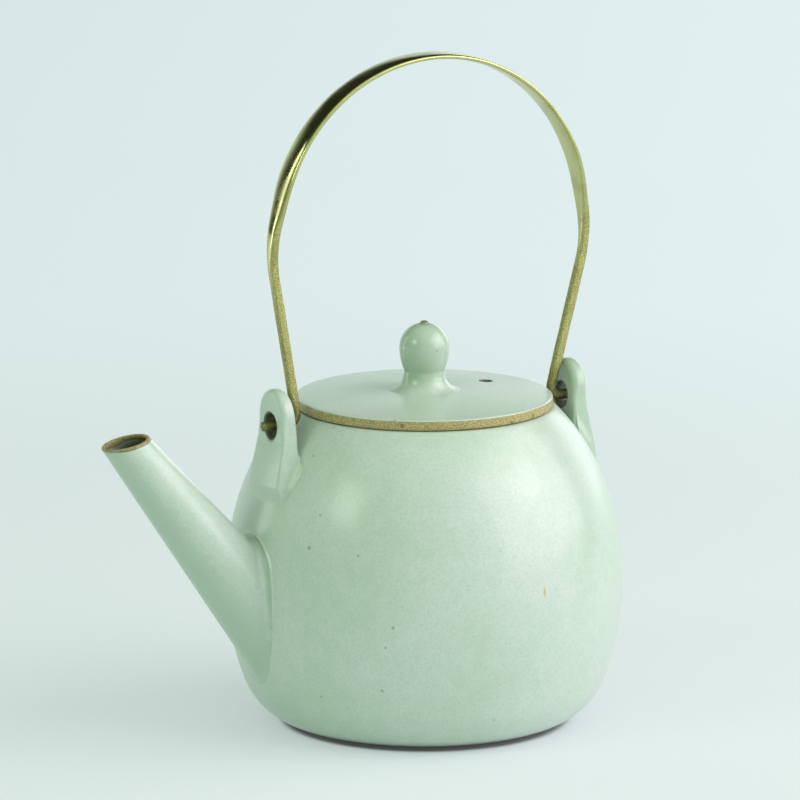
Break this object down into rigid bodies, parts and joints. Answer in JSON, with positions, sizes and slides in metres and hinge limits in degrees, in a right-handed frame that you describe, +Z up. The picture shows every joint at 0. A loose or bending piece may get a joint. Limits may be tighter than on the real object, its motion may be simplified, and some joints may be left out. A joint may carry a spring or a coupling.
{
  "type": "teapot with bail handle",
  "caption": "Round-shouldered glazed stoneware teapot with a straight tapered spout, a flat lift-off lid with a ball knob, and a tall brass bail that swings in ears.",
  "frame": {"origin": "middle of the flat foot, on the surface the pot stands on and on the pot's own axis", "axes": "+Z up along the pot's axis; the spout points along -X; the ears and the bail's hinge line lie along X"},
  "size_m": [0.1822, 0.131, 0.221],
  "materials": {
    "celadon_glaze": "satin pale green glaze on stoneware, bare and toasted brown at the lid's edge and the spout's lip",
    "brass": "polished grip with grainy forged edges"
  },
  "bodies": {
    "pot": {"pot_body": "celadon_glaze", "spout": "celadon_glaze", "spout_strainer": "celadon_glaze", "spout_side_ear": "celadon_glaze", "rear_ear": "celadon_glaze"},
    "lid": {"lid": "celadon_glaze", "lid_knob": "celadon_glaze"},
    "bail": {"bail_handle": "brass"}
  },
  "joints": [
    {"name": "lid_lift", "type": "slide", "parent": "pot", "child": "lid", "axis": [0, 0, 1], "range_m": [0, 0.06]},
    {"name": "bail_swing", "type": "hinge", "parent": "pot", "child": "bail", "pos_m": [0, 0, 0.10322], "axis": [1, 0, 0], "range_deg": [-104, 104]}
  ]
}
